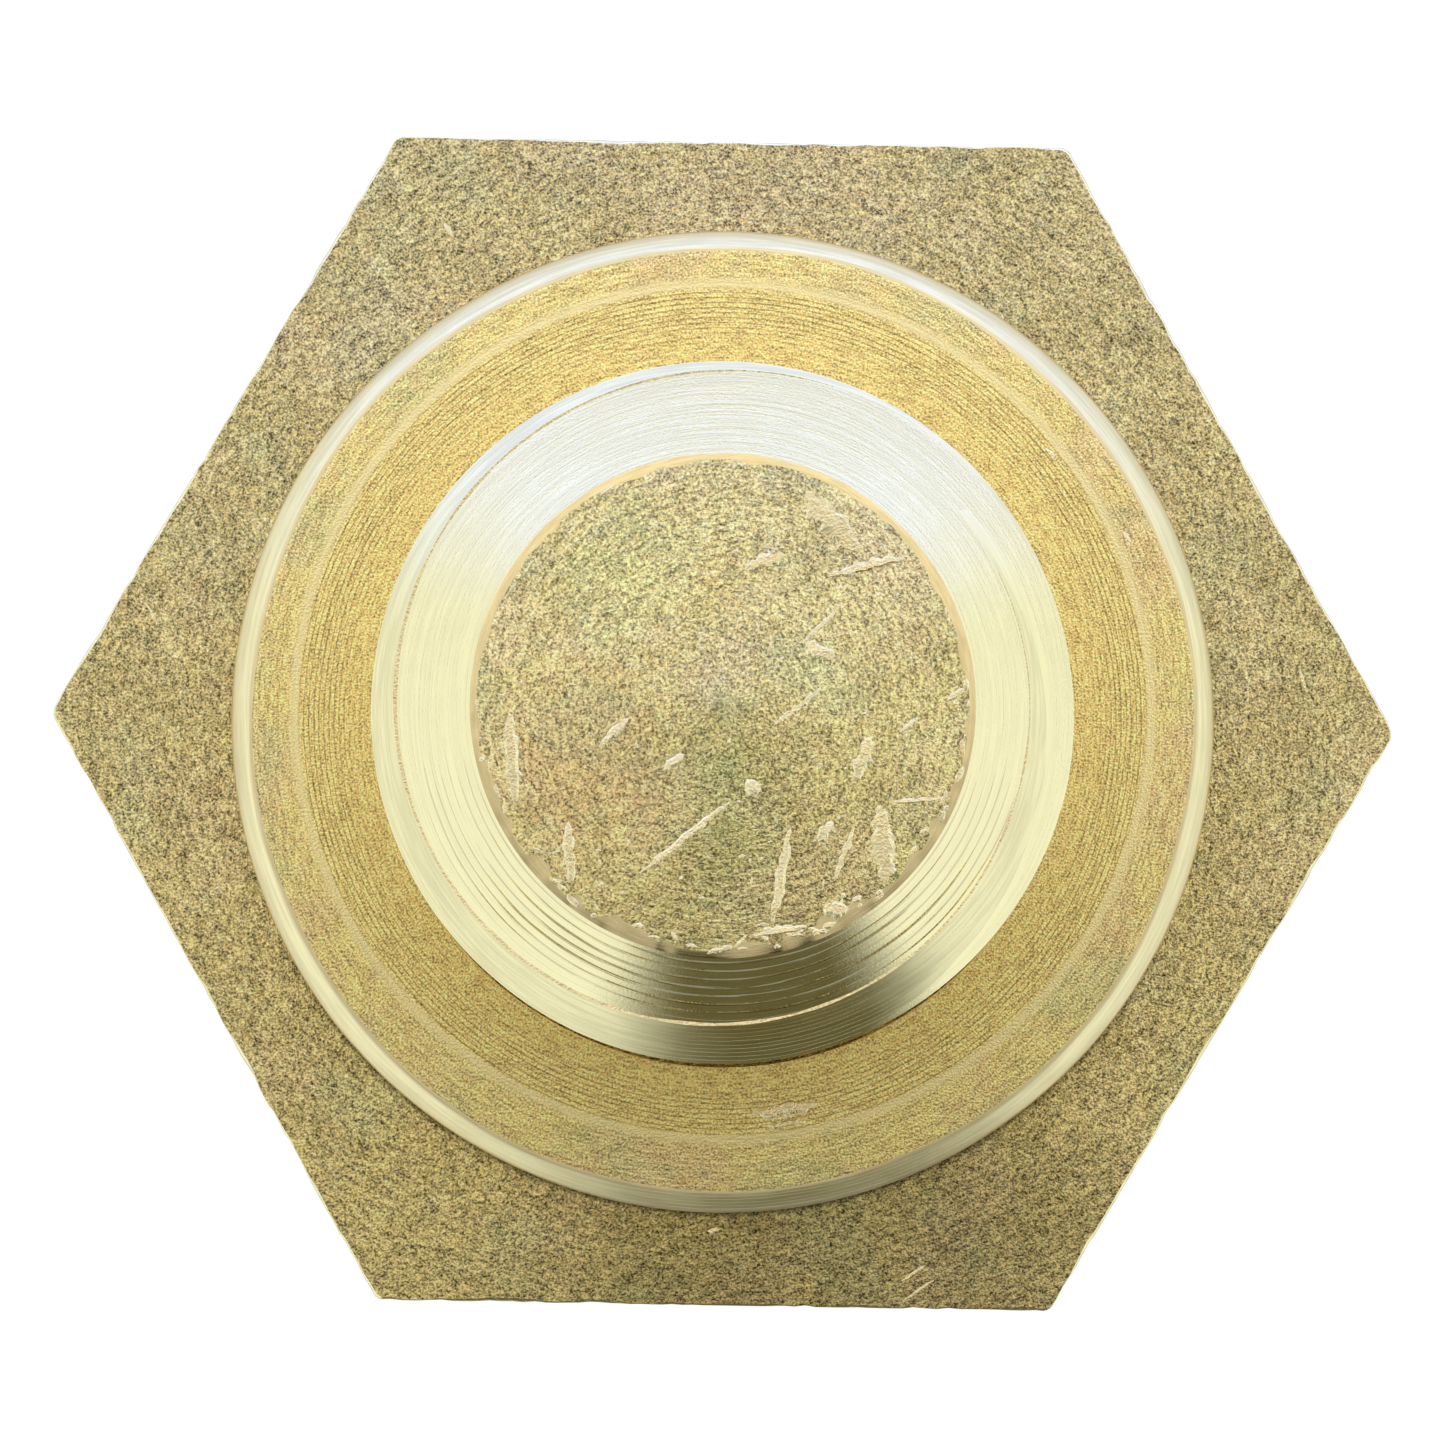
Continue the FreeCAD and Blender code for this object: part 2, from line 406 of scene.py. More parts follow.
def nick_mesh(name, strokes, height_at, crown, widen):
    """Raised slivers: low closed tents along each stroke, their sides sunk just under the surface."""
    points, faces = [], []
    for number, (x0, y0, x1, y1, width) in enumerate(strokes):
        start, along = Vector((x0, y0)), Vector((x1 - x0, y1 - y0))
        across = Vector((-along.y, along.x)).normalized() * width * widen / 2
        segments = max(3, round(along.length / 0.09))
        peak = min(crown, 0.16 * width * widen)
        first = len(points)
        for step in range(segments + 1):
            part = step / segments
            swell = math.sin(math.pi * part) ** 0.5
            middle = start + along * part
            middle += across * 0.4 * noise.noise(Vector((part * 6, number * 3.1, 0.0)))
            for side, rise in ((-1.0, 0.0), (-0.5, 1.0), (0.55, 0.6), (1.0, 0.0)):
                ragged = 1 + 0.8 * noise.noise(Vector((part * 11, side, number * 1.7)))
                spot = middle + across * side * swell * ragged
                lift = (peak * rise + NICK_SINK) * swell - NICK_SINK
                points.append((spot.x, spot.y, height_at(spot.x, spot.y) + lift))
        for step in range(segments):
            for side in range(4):
                near, far = first + step * 4 + side, first + step * 4 + (side + 1) % 4
                faces.append((near, far, far + 4, near + 4))
    mesh = sliver_mesh(name, points, faces)
    weld(mesh, outwards=True)
    return placed(mesh)


def burr_mesh(shape):
    """A thin closed sliver: the lip that the tool threw up where its groove runs out on the lead."""
    turned = np.radians(np.arange(0, 360 * 8, 1.5))
    first = shape.seat_height + shape.thread_start
    low, high = cavity_edges(shape, first + shape.pitch * turned / (2 * math.pi))
    foot = shape.overall_height - shape.lead_chamfer
    ran_out = (high > foot + BURR_FOOT) & (high - low > BURR_OPEN)
    turned, high = turned[ran_out], high[ran_out]
    fade = np.sin(np.linspace(0.02, math.pi - 0.02, len(turned))) ** 0.5
    lip = shape.burr * fade * (1 + 0.35 * ring_noise(turned, 40, 6))
    radius = shank_radius(shape, high)
    section = ((-0.9, 0.8), (0.6, 0.9), (-0.4, -0.7))
    points, faces = [], []
    for angle, reach, height, size in zip(turned, radius, high, lip):
        for out, up in section:
            spot = reach + out * size
            points.append((spot * math.cos(angle), spot * math.sin(angle), height + up * size))
    for step in range(len(turned) - 1):
        for side in range(3):
            near, far = step * 3 + side, step * 3 + (side + 1) % 3
            faces.append((near, far, far + 3, near + 3))
    last = len(points)
    faces += [(2, 1, 0), (last - 3, last - 2, last - 1)]
    return placed(sliver_mesh("thread_burr", points, faces))


# ---------------------------------------------------------------- thread

def shank_radius(shape, height):
    """Radius of the turned shank before threading, as an array over heights above the head's face."""
    relief = shape.crest_radius - shape.thread_depth - shape.relief_depth
    slope_foot = shape.seat_height + shape.relief_length
    lead_foot = shape.overall_height - shape.lead_chamfer
    rising = relief + (height - slope_foot)
    falling = shape.crest_radius - (height - lead_foot)
    return np.minimum(np.minimum(rising, falling), shape.crest_radius)


def groove_radius(shape, offset):
    """Radius of the thread groove at a distance from its middle, along the axis."""
    root = shape.crest_radius - shape.thread_depth
    slope = 1 / math.tan(shape.flank_angle)
    return root + np.maximum(np.abs(offset) - shape.thread_root / 2, 0) * slope


def cavity_edges(shape, middle):
    """Heights where each groove, centred on middle, enters and leaves the shank's surface."""
    lead_foot = shape.overall_height - shape.lead_chamfer
    crest_foot = shape.seat_height + shape.relief_length + shape.thread_depth + shape.relief_depth
    half_root = shape.thread_root / 2

    def depth(height):
        return shank_radius(shape, height) - groove_radius(shape, height - middle)

    spots = np.stack([middle - half_root, middle + half_root,
                      np.full_like(middle, lead_foot), np.full_like(middle, crest_foot)])
    deepest = np.take_along_axis(spots, np.argmax(depth(spots), axis=0)[None], axis=0)[0]
    edges = []
    for side in (-1, 1):
        inside, outside = deepest.copy(), deepest + side * shape.pitch
        for _ in range(40):
            half = (inside + outside) / 2
            open_there = depth(half) > 0
            inside = np.where(open_there, half, inside)
            outside = np.where(open_there, outside, half)
        edges.append(inside)
    return edges


def thread_rows(shape, angles, rim_height):
    """Radius and height of every point of the threaded stretch: one array row per step up the thread."""
    turns = np.arange(-2, math.ceil((shape.overall_height - shape.seat_height) / shape.pitch) + 2)
    first = shape.seat_height + shape.thread_start
    middle = first + shape.pitch * (angles[None, :] / (2 * math.pi) + turns[:, None])
    low, high = cavity_edges(shape, middle)
    half_root = shape.thread_root / 2
    root_low = np.clip(middle - half_root, low, high)
    root_high = np.clip(middle + half_root, low, high)
    next_low = np.vstack([low[1:], low[-1:] + shape.pitch])
    lead_foot = np.clip(shape.overall_height - shape.lead_chamfer, high, next_low)
    crest_foot = shape.seat_height + shape.relief_length + shape.thread_depth + shape.relief_depth
    crest_foot = np.clip(crest_foot, high, lead_foot)
    stops = [(low, root_low, 4), (root_low, root_high, 2), (root_high, high, 4),
             (high, crest_foot, 2), (crest_foot, lead_foot, 2), (lead_foot, next_low, 4)]
    steps = [start + (end - start) * part / count
             for start, end, count in stops for part in range(count)]
    in_groove = [index for index, (_, _, count) in enumerate(stops) for _ in range(count)]
    foot = shape.seat_height + shape.relief_length
    heights = np.clip(np.stack(steps), foot, rim_height[None, None, :])
    radii = np.minimum(shank_radius(shape, heights), groove_radius(shape, heights - middle[None]))
    return radii, heights, np.array(in_groove), turns


def add_thread(skin, shape, rim_height, thread_slot, lead_slot):
    """Add the helical skin between the relief and the rim of the flat end."""
    radii, heights, stretch, turns = thread_rows(shape, skin.angles, rim_height)
    steps, count = radii.shape[0], len(skin.angles)
    numbers = np.empty(radii.shape, int)
    for turn in range(len(turns)):
        for step in range(steps):
            numbers[step, turn] = skin.row(radii[step, turn], heights[step, turn])
    lead_foot = shape.overall_height - shape.lead_chamfer
    chain = numbers.transpose(1, 0, 2).reshape(-1, count)
    level = heights.transpose(1, 0, 2).reshape(-1, count)
    reach = radii.transpose(1, 0, 2).reshape(-1, count)
    for index in range(len(chain) - steps):
        here, above = chain[index], chain[index + 1]
        right = np.append(here[1:], chain[index + steps][0])
        above_right = np.append(above[1:], chain[index + 1 + steps][0] if index + 1 + steps < len(chain)
                                else above[0])
        groove = stretch[index % steps] < 3
        for column in range(count):
            quad = [int(here[column]), int(right[column]), int(above_right[column]), int(above[column])]
            middle = (level[index, column] + level[index + 1, column]) / 2
            on_shank = abs(shank_radius(shape, middle)
                           - (reach[index, column] + reach[index + 1, column]) / 2) < 0.01
            skin.faces.append(quad)
            skin.slots.append(lead_slot if middle > lead_foot and (on_shank or not groove)
                              else thread_slot)


# ---------------------------------------------------------------- node helpers

class Nodes:
    """Short calls for a node tree."""

    def __init__(self, tree, keep=False):
        self.tree = tree
        if not keep:
            self.tree.nodes.clear()

    def find(self, kind):
        """The tree's only node of a kind."""
        return next(node for node in self.tree.nodes if node.type == kind)

    def add(self, kind, **settings):
        """Add a node; inputs are given by name with a trailing dict, properties by keyword."""
        values = settings.pop("inputs", {})
        node = self.tree.nodes.new(kind)
        for key, value in settings.items():
            setattr(node, key, value)
        for key, value in values.items():
            self.feed(node.inputs[key], value)
        return node

    def feed(self, socket, value):
        """Link an output to the socket, or set the socket's own value."""
        if isinstance(value, bpy.types.NodeSocket):
            self.tree.links.new(value, socket)
        elif socket.type == "VECTOR":
            socket.default_value = value[:3]
        else:
            socket.default_value = value

    def math(self, operation, first, second=0.0, third=0.0):
        """Add a math node and return its output."""
        node = self.add("ShaderNodeMath", operation=operation)
        for socket, value in zip(node.inputs, (first, second, third)):
            self.feed(socket, value)
        return node.outputs[0]

    def ramp(self, value, low, high, to_low=0.0, to_high=1.0, smooth=True):
        """Map a value from low..high to to_low..to_high, clamped."""
        node = self.add("ShaderNodeMapRange", interpolation_type="SMOOTHSTEP" if smooth else "LINEAR")
        for name, setting in (("Value", value), ("From Min", low), ("From Max", high),
                              ("To Min", to_low), ("To Max", to_high)):
            self.feed(node.inputs[name], setting)
        return node.outputs["Result"]

    def mix(self, factor, first, second):
        """Mix two colours."""
        node = self.add("ShaderNodeMix", data_type="RGBA")
        self.feed(node.inputs["Factor"], factor)
        self.feed(node.inputs["A"], first)
        self.feed(node.inputs["B"], second)
        return node.outputs["Result"]

    def scaled(self, vector, factor):
        """Multiply a vector or colour by a number."""
        node = self.add("ShaderNodeVectorMath", operation="SCALE")
        self.feed(node.inputs[0], vector)
        self.feed(node.inputs["Scale"], factor)
        return node.outputs[0]

    def vector(self, operation, first, second=(0, 0, 0)):
        """Add a vector math node and return it."""
        node = self.add("ShaderNodeVectorMath", operation=operation)
        self.feed(node.inputs[0], first)
        self.feed(node.inputs[1], second)
        return node


def rgba(colour):
    """A colour property as four numbers."""
    return (colour[0], colour[1], colour[2], 1.0)


def new_group(name, inputs, outputs):
    """Start a shader node group with (name, type, default) inputs and (name, type) outputs."""
    tree = bpy.data.node_groups.new(name, "ShaderNodeTree")
    for label, kind, default in inputs:
        socket = tree.interface.new_socket(label, in_out="INPUT", socket_type="NodeSocket" + kind)
        if default is not None:
            socket.default_value = default
    for label, kind in outputs:
        tree.interface.new_socket(label, in_out="OUTPUT", socket_type="NodeSocket" + kind)
    nodes = Nodes(tree)
    return nodes, nodes.add("NodeGroupInput").outputs, nodes.add("NodeGroupOutput").inputs


def polar_parts(nodes, position):
    """Radius in millimetres and the unit direction from the axis of an object position in metres."""
    flat = nodes.vector("MULTIPLY", nodes.scaled(position, 1 / MM), (1, 1, 0)).outputs[0]
    radius = nodes.vector("LENGTH", flat).outputs["Value"]
    direction = nodes.vector("NORMALIZE", flat).outputs[0]
    return radius, direction


def arc_noise(nodes, radius, direction, pitch, breaks):
    """Noise stretched round the axis: fine across it, long along it. Also gives the radius in pitches."""
    steps = nodes.math("DIVIDE", radius, pitch)
    parts = nodes.add("ShaderNodeSeparateXYZ", inputs={"Vector": nodes.scaled(direction, breaks)}).outputs
    place = nodes.add("ShaderNodeCombineXYZ", inputs={"X": steps, "Y": parts["X"], "Z": parts["Y"]})
    streaks = nodes.add("ShaderNodeTexNoise", inputs={
        "Vector": place.outputs[0], "Scale": 1.0, "Detail": 2.0, "Roughness": 0.65})
    return streaks.outputs["Fac"], steps


def turning_marks_group():
    """Feed marks of a facing cut: teeth leaning outwards round the axis, and streaks along them."""
    nodes, given, result = new_group("turning_marks", [
        ("Position", "Vector", None),
        ("Pitch", "Float", 0.1),
        ("Breaks", "Float", 10.0),
        ("Wander", "Float", 0.5),
    ], [("Streaks", "Float"), ("Teeth", "Float")])
    radius, direction = polar_parts(nodes, given["Position"])
    noise_value, steps = arc_noise(nodes, radius, direction, given["Pitch"], given["Breaks"])
    wander = nodes.math("MULTIPLY", nodes.math("SUBTRACT", noise_value, 0.5), given["Wander"])
    tooth = nodes.math("FRACT", nodes.math("ADD", steps, wander))
    nodes.feed(result["Streaks"], nodes.ramp(noise_value, 0.34, 0.66))
    nodes.feed(result["Teeth"], nodes.math("SUBTRACT", 1.0, tooth))
    return nodes.tree


def lathe_grooves_group():
    """Narrow V grooves round the axis inside a radius, deeper in some turns and towards -Y."""
    nodes, given, result = new_group("lathe_grooves", [
        ("Position", "Vector", None),
        ("Pitch", "Float", 0.18),
        ("Half Width", "Float", 0.12),
        ("Outer Radius", "Float", 5.6),
    ], [("Depth", "Float")])
    radius, direction = polar_parts(nodes, given["Position"])
    noise_value, steps = arc_noise(nodes, radius, direction, given["Pitch"], 1.6)
    place = nodes.math("FRACT", nodes.math("ADD", steps, nodes.math("MULTIPLY", noise_value, 0.5)))
    away = nodes.math("ABSOLUTE", nodes.math("SUBTRACT", place, 0.5))
    groove = nodes.math("SUBTRACT", 1.0, nodes.math("DIVIDE", away, given["Half Width"]))
    groove = nodes.math("MULTIPLY", nodes.math("MAXIMUM", groove, 0.0), nodes.ramp(noise_value, 0.25, 0.6))
    turned = nodes.add("ShaderNodeSeparateXYZ", inputs={"Vector": direction}).outputs["Y"]
    groove = nodes.math("MULTIPLY", groove, nodes.ramp(turned, -0.85, -0.1, 1.0, 0.02))
    inside = nodes.ramp(nodes.math("SUBTRACT", given["Outer Radius"], radius), 0.0, 0.12)
    nodes.feed(result["Depth"], nodes.math("MULTIPLY", groove, inside))
    return nodes.tree


def open_front_group():
    """Light left after the tent's open front: dark in a wedge about -Y, full elsewhere."""
    nodes, given, result = new_group("open_front", [
        ("Direction", "Vector", None),
        ("Shade", "Float", 0.1),
    ], [("Light", "Float")])
    lean = math.radians(9)
    facing = nodes.vector("DOT_PRODUCT", given["Direction"], (math.sin(lean), -math.cos(lean), 0.0))
    light = nodes.ramp(facing.outputs["Value"], math.cos(math.radians(34)), math.cos(math.radians(14)),
                       1.0, given["Shade"])
    nodes.feed(result["Light"], light)
    return nodes.tree


def sand_grain_group():
    """Fine even speckle of a dull surface, with a softer mottle over it."""
    nodes, given, result = new_group("sand_grain", [
        ("Position", "Vector", None),
        ("Grain", "Float", 0.05),
        ("Mottle", "Float", 0.5),
    ], [("Grain", "Float"), ("Mottle", "Float")])
    place = nodes.scaled(given["Position"], 1 / MM)
    fine = nodes.add("ShaderNodeTexNoise", inputs={
        "Vector": place, "Detail": 1.5, "Roughness": 0.6, "Scale": nodes.math("DIVIDE", 1.0, given["Grain"])})
    soft = nodes.add("ShaderNodeTexNoise", inputs={
        "Vector": place, "Detail": 2.0, "Scale": nodes.math("DIVIDE", 1.0, given["Mottle"])})
    nodes.feed(result["Grain"], nodes.ramp(fine.outputs["Fac"], 0.34, 0.66, smooth=False))
    nodes.feed(result["Mottle"], nodes.ramp(soft.outputs["Fac"], 0.35, 0.65))
    return nodes.tree


def tarnish_group():
    """Patches of coppery and greenish tarnish over a base colour."""
    nodes, given, result = new_group("tarnish", [
        ("Position", "Vector", None),
        ("Colour", "Color", (0.8, 0.7, 0.4, 1)),
        ("Pink", "Color", (0.8, 0.6, 0.4, 1)),
        ("Green", "Color", (0.6, 0.7, 0.4, 1)),
        ("Patch", "Float", 0.4),
        ("Amount", "Float", 0.5),
    ], [("Colour", "Color")])
    patches = nodes.add("ShaderNodeTexNoise", inputs={
        "Vector": nodes.scaled(given["Position"], 1 / MM), "Detail": 1.0,
        "Scale": nodes.math("DIVIDE", 1.0, given["Patch"])})
    parts = nodes.add("ShaderNodeSeparateColor", inputs={"Color": patches.outputs["Color"]})
    pink = nodes.math("MULTIPLY", nodes.ramp(parts.outputs["Red"], 0.48, 0.66), given["Amount"])
    green = nodes.math("MULTIPLY", nodes.ramp(parts.outputs["Green"], 0.52, 0.68), given["Amount"])
    tinted = nodes.mix(pink, given["Colour"], given["Pink"])
    nodes.feed(result["Colour"], nodes.mix(green, tinted, given["Green"]))
    return nodes.tree


def place_group(nodes, group, **inputs):
    """Put a node group in a material and set its inputs by name."""
    node = nodes.add("ShaderNodeGroup", node_tree=bpy.data.node_groups[group])
    for name, value in inputs.items():
        nodes.feed(node.inputs[name], value)
    return node.outputs


def shaded(nodes, amount, colour, low, high):
    """Darken or lighten a colour by a 0..1 value, from low to high."""
    return nodes.scaled(colour, nodes.ramp(amount, 0.0, 1.0, low, high, smooth=False))


def finish_metal(nodes, colour, roughness, height, bump):
    """End a material in a metallic Principled BSDF; a height of 1 stands for bump millimetres."""
    normal = nodes.add("ShaderNodeBump", inputs={"Height": height, "Distance": bump * MM, "Strength": 1.0})
    shader = nodes.add("ShaderNodeBsdfPrincipled", inputs={
        "Base Color": colour, "Metallic": 1.0, "Roughness": roughness, "Normal": normal.outputs[0]})
    nodes.add("ShaderNodeOutputMaterial", inputs={"Surface": shader.outputs[0]})


def new_material(name):
    """Start a material and return it with its node calls and its object position."""
    material = bpy.data.materials.new(name)
    material.use_nodes = True
    nodes = Nodes(material.node_tree)
    position = nodes.add("ShaderNodeTexCoord").outputs["Object"]
    return material, nodes, position


# ---------------------------------------------------------------- materials

def stained_colour(nodes, position, colour, finish, patch, amount):
    """A brass colour with large and small tarnish patches."""
    stains = {"Pink": rgba(finish.pink_stain), "Green": rgba(finish.green_stain)}
    large = place_group(nodes, "tarnish", Position=position, Colour=rgba(colour), Patch=patch * 7,
                        Amount=amount * 0.8, **stains)["Colour"]
    return place_group(nodes, "tarnish", Position=position, Colour=large, Patch=patch,
                       Amount=amount * 0.5, **stains)["Colour"]


def dull_turned_material(name, colour, finish, pitch, breaks, roughness, lean, tilt, contrast, tarnish):
    """A dull faced surface: broken feed marks under an even grain, on the whole tilted outwards."""
    material, nodes, position = new_material(name)
    marks = place_group(nodes, "turning_marks", Position=position, Pitch=pitch, Breaks=breaks, Wander=2.0)
    grain = place_group(nodes, "sand_grain", Position=position, Grain=0.042, Mottle=1.4)
    stained = stained_colour(nodes, position, colour, finish, 0.30, tarnish)
    texture = nodes.math("MULTIPLY_ADD", marks["Streaks"], 0.3, nodes.math("MULTIPLY", grain["Grain"], 0.7))
    toned = shaded(nodes, texture, stained, 1 - contrast, 1 + contrast)
    toned = shaded(nodes, grain["Mottle"], toned, 0.94, 1.05)
    rough = nodes.ramp(grain["Grain"], 0.0, 1.0, roughness - 0.06, roughness + 0.06, smooth=False)
    teeth = nodes.math("MULTIPLY_ADD", grain["Grain"], 0.6, marks["Teeth"])
    height = nodes.math("MULTIPLY", teeth, pitch * lean)
    radius, _ = polar_parts(nodes, position)
    finish_metal(nodes, toned, rough, nodes.math("MULTIPLY_ADD", radius, -tilt, height), 1.0)
    return material


def head_face_material(shape, finish):
    """The head's faces: dull; the seat side is darkened towards -Y as painted shade, with a painted shadow by
    the ring's foot there.
    """
    material = dull_turned_material(
        "head_dull_face", finish.matte_brass, finish, pitch=0.10, breaks=45.0, roughness=0.40, lean=0.26,
        tilt=0.08, contrast=0.90, tarnish=0.22)
    nodes = Nodes(material.node_tree, keep=True)
    shader = nodes.find("BSDF_PRINCIPLED")
    toned = shader.inputs["Base Color"].links[0].from_socket
    position = nodes.add("ShaderNodeTexCoord").outputs["Object"]
    height = nodes.add("ShaderNodeSeparateXYZ", inputs={"Vector": position}).outputs["Z"]
    on_seat = nodes.ramp(height, 0.4 * shape.seat_height * MM, 0.6 * shape.seat_height * MM)
    radius, direction = polar_parts(nodes, position)
    # Painted shadow: on the -Y side the seat is darkened down to 0.3 round the ring's foot, from under the
    # ring to just outside its edge; clean marks where this painted shadow stops.
    beyond = nodes.math("SUBTRACT", radius, shape.ring_outside)
    turned = nodes.add("ShaderNodeSeparateXYZ", inputs={"Vector": direction}).outputs["Y"]
    clean = nodes.math("MAXIMUM", nodes.ramp(beyond, -0.02, 0.14), nodes.ramp(turned, -0.9, -0.3))
    round_foot = nodes.math("MULTIPLY", on_seat, nodes.ramp(beyond, -0.30, -0.10))
    foot_shadow = nodes.math("MULTIPLY", round_foot, nodes.math("SUBTRACT", 1.0, clean))
    toned = shaded(nodes, foot_shadow, toned, 1.0, 0.30)
    # Painted shade: the seat is darkened down to 0.7 in a fan towards -Y.
    facing = nodes.vector("DOT_PRODUCT", direction, (0.2, -0.98, 0.0)).outputs["Value"]
    front_shade = nodes.math("MULTIPLY", on_seat, nodes.ramp(facing, 0.80, 0.985))
    nodes.feed(shader.inputs["Base Color"], shaded(nodes, front_shade, toned, 1.0, 0.70))
    return material


def end_face_material(finish):
    """The flat end: dull, with a green patch towards -Y and a coppery one beside it."""
    material = dull_turned_material(
        "end_dull_face", finish.end_brass, finish, pitch=0.08, breaks=12.0, roughness=0.34, lean=0.22,
        tilt=0.03, contrast=0.80, tarnish=0.35)
    nodes = Nodes(material.node_tree, keep=True)
    shader = nodes.find("BSDF_PRINCIPLED")
    toned = shader.inputs["Base Color"].links[0].from_socket
    position = nodes.add("ShaderNodeTexCoord").outputs["Object"]
    wisps = place_group(nodes, "sand_grain", Position=position, Grain=0.35, Mottle=1.2)
    for centre, spread, tint, strength in (((0.3, -2.2), (1.1, 2.3), (0.88, 0.97, 0.96, 1), 0.9),
                                           ((-2.4, -1.0), (1.6, 2.0), (0.98, 0.88, 0.90, 1), 0.9),
                                           ((-1.5, 2.4), (2.4, 1.6), (1.04, 1.02, 0.84, 1), 0.8)):
        offset = nodes.vector("SUBTRACT", position, (centre[0] * MM, centre[1] * MM, 0)).outputs[0]
        shrunk = nodes.vector("MULTIPLY", offset, (1 / spread[0] / MM, 1 / spread[1] / MM, 0)).outputs[0]
        away = nodes.vector("LENGTH", shrunk).outputs["Value"]
        away = nodes.math("MULTIPLY_ADD", wisps["Grain"], 0.5, away)
        amount = nodes.ramp(away, 0.6, 1.4, strength, 0.0)
        toned = nodes.vector("MULTIPLY", toned, nodes.mix(amount, (1, 1, 1, 1), tint)).outputs[0]
    nodes.feed(shader.inputs["Base Color"], toned)
    return material


def bright_turned_material(name, colour, pitch, breaks, roughness, lean, low, high):
    """A clean, shiny cut with fine rings."""
    material, nodes, position = new_material(name)
    marks = place_group(nodes, "turning_marks", Position=position, Pitch=pitch, Breaks=breaks, Wander=0.8)
    grain = place_group(nodes, "sand_grain", Position=position, Grain=0.07, Mottle=1.0)
    toned = shaded(nodes, marks["Streaks"], rgba(colour), low, high)
    rough = nodes.ramp(grain["Mottle"], 0.0, 1.0, roughness, roughness + 0.05)
    finish_metal(nodes, toned, rough, marks["Teeth"], pitch * lean)
    return material


def grooved_material(name, finish, pitch, outer_radius):
    """A polished slope with narrow grooves left by the tool inside a radius."""
    material, nodes, position = new_material(name)
    grooves = place_group(nodes, "lathe_grooves", Position=position, Pitch=pitch,
                          **{"Outer Radius": outer_radius, "Half Width": 0.18})["Depth"]
    marks = place_group(nodes, "turning_marks", Position=position, Pitch=0.05, Breaks=2.5, Wander=0.8)
    grain = place_group(nodes, "sand_grain", Position=position, Grain=0.05, Mottle=0.5)
    toned = shaded(nodes, marks["Streaks"], rgba(finish.bright_brass), 0.96, 1.03)
    rough = nodes.ramp(grain["Mottle"], 0.0, 1.0, 0.07, 0.13)
    height = nodes.math("MULTIPLY_ADD", marks["Streaks"], 0.03, nodes.math("MULTIPLY", grooves, -1.0))
    height = nodes.math("MULTIPLY_ADD", grain["Grain"], 0.03, height)
    finish_metal(nodes, toned, rough, height, pitch * 0.13)
    return material


def ring_face_material(shape, finish):
    """The ring's sealing side: a painted golden reflection of the thread near the shank, a painted highlight
    line at the reflection's edge, and paler outside it.
    """
    material, nodes, position = new_material("ring_sealing_face")
    marks = place_group(nodes, "turning_marks", Position=position, Pitch=0.095, Breaks=4.0, Wander=0.5)
    short = place_group(nodes, "turning_marks", Position=position, Pitch=0.06, Breaks=22.0, Wander=0.5)
    grain = place_group(nodes, "sand_grain", Position=position, Grain=0.042, Mottle=1.0)
    radius, _ = polar_parts(nodes, nodes.vector("SUBTRACT", position, (0.0, 0.18 * MM, 0.0)).outputs[0])
    bore = shape.crest_radius
    reflection_edge = bore + 1.45
    away = nodes.ramp(radius, bore + 0.3, bore + 1.1)
    outside = nodes.ramp(radius, reflection_edge, reflection_edge + 0.10)
    # Painted highlight: a thin pale line just outside the painted reflection's edge.
    band = nodes.math("MULTIPLY", outside, nodes.ramp(radius, reflection_edge + 0.12, reflection_edge + 0.32, 1.0, 0.0))
    stained = stained_colour(nodes, position, finish.ring_brass, finish, 0.30, 0.5)
    # Painted reflection: golden at the shank, fading to half by bore + 1.1 mm and ending at the reflection's
    # edge.
    inner = nodes.mix(nodes.math("MULTIPLY", away, 0.5), rgba(finish.thread_reflection_gold), rgba(finish.ring_brass))
    zoned = nodes.mix(outside, inner, stained)
    texture = nodes.math("MULTIPLY_ADD", short["Streaks"], 0.3, nodes.math("MULTIPLY", grain["Grain"], 0.7))
    toned = shaded(nodes, texture, zoned, 0.32, 1.68)
    lined = nodes.math("MULTIPLY", away, nodes.math("SUBTRACT", 1.0, outside))
    line = nodes.ramp(marks["Teeth"], 0.10, 0.35, nodes.ramp(lined, 0.0, 1.0, 0.94, 0.58), 1.05)
    toned = nodes.scaled(toned, line)
    # The painted highlight line is laid over the face colour here.
    toned = nodes.mix(nodes.math("MULTIPLY", band, 0.85), toned, (0.95, 0.78, 0.36, 1))
    rough = nodes.ramp(grain["Grain"], 0.0, 1.0, 0.28, 0.38, smooth=False)
    height = nodes.math("MULTIPLY_ADD", grain["Grain"], 0.35, marks["Teeth"])
    finish_metal(nodes, toned, rough, height, 0.095 * 0.12)
    return material


def flats_material(finish):
    """The hexagon's drawn sides: smooth, with fine lines along the bar."""
    material, nodes, position = new_material("head_flats")
    drawn = nodes.vector("MULTIPLY", position, (1, 1, 0.04)).outputs[0]
    grain = place_group(nodes, "sand_grain", Position=drawn, Grain=0.12, Mottle=1.6)
    toned = shaded(nodes, grain["Grain"], rgba(finish.bright_brass), 0.80, 1.02)
    rough = nodes.ramp(grain["Mottle"], 0.0, 1.0, 0.20, 0.30)
    finish_metal(nodes, toned, rough, grain["Grain"], 0.004)
    return material


def nick_material(finish):
    """Fresh bright metal of the nicks and the burr."""
    material, nodes, position = new_material("fresh_nicks")
    grain = place_group(nodes, "sand_grain", Position=position, Grain=0.05, Mottle=0.4)
    toned = shaded(nodes, grain["Grain"], rgba(finish.fresh_brass), 0.84, 1.04)
    finish_metal(nodes, toned, nodes.ramp(grain["Mottle"], 0.0, 1.0, 0.22, 0.36), grain["Grain"], 0.006)
    return material


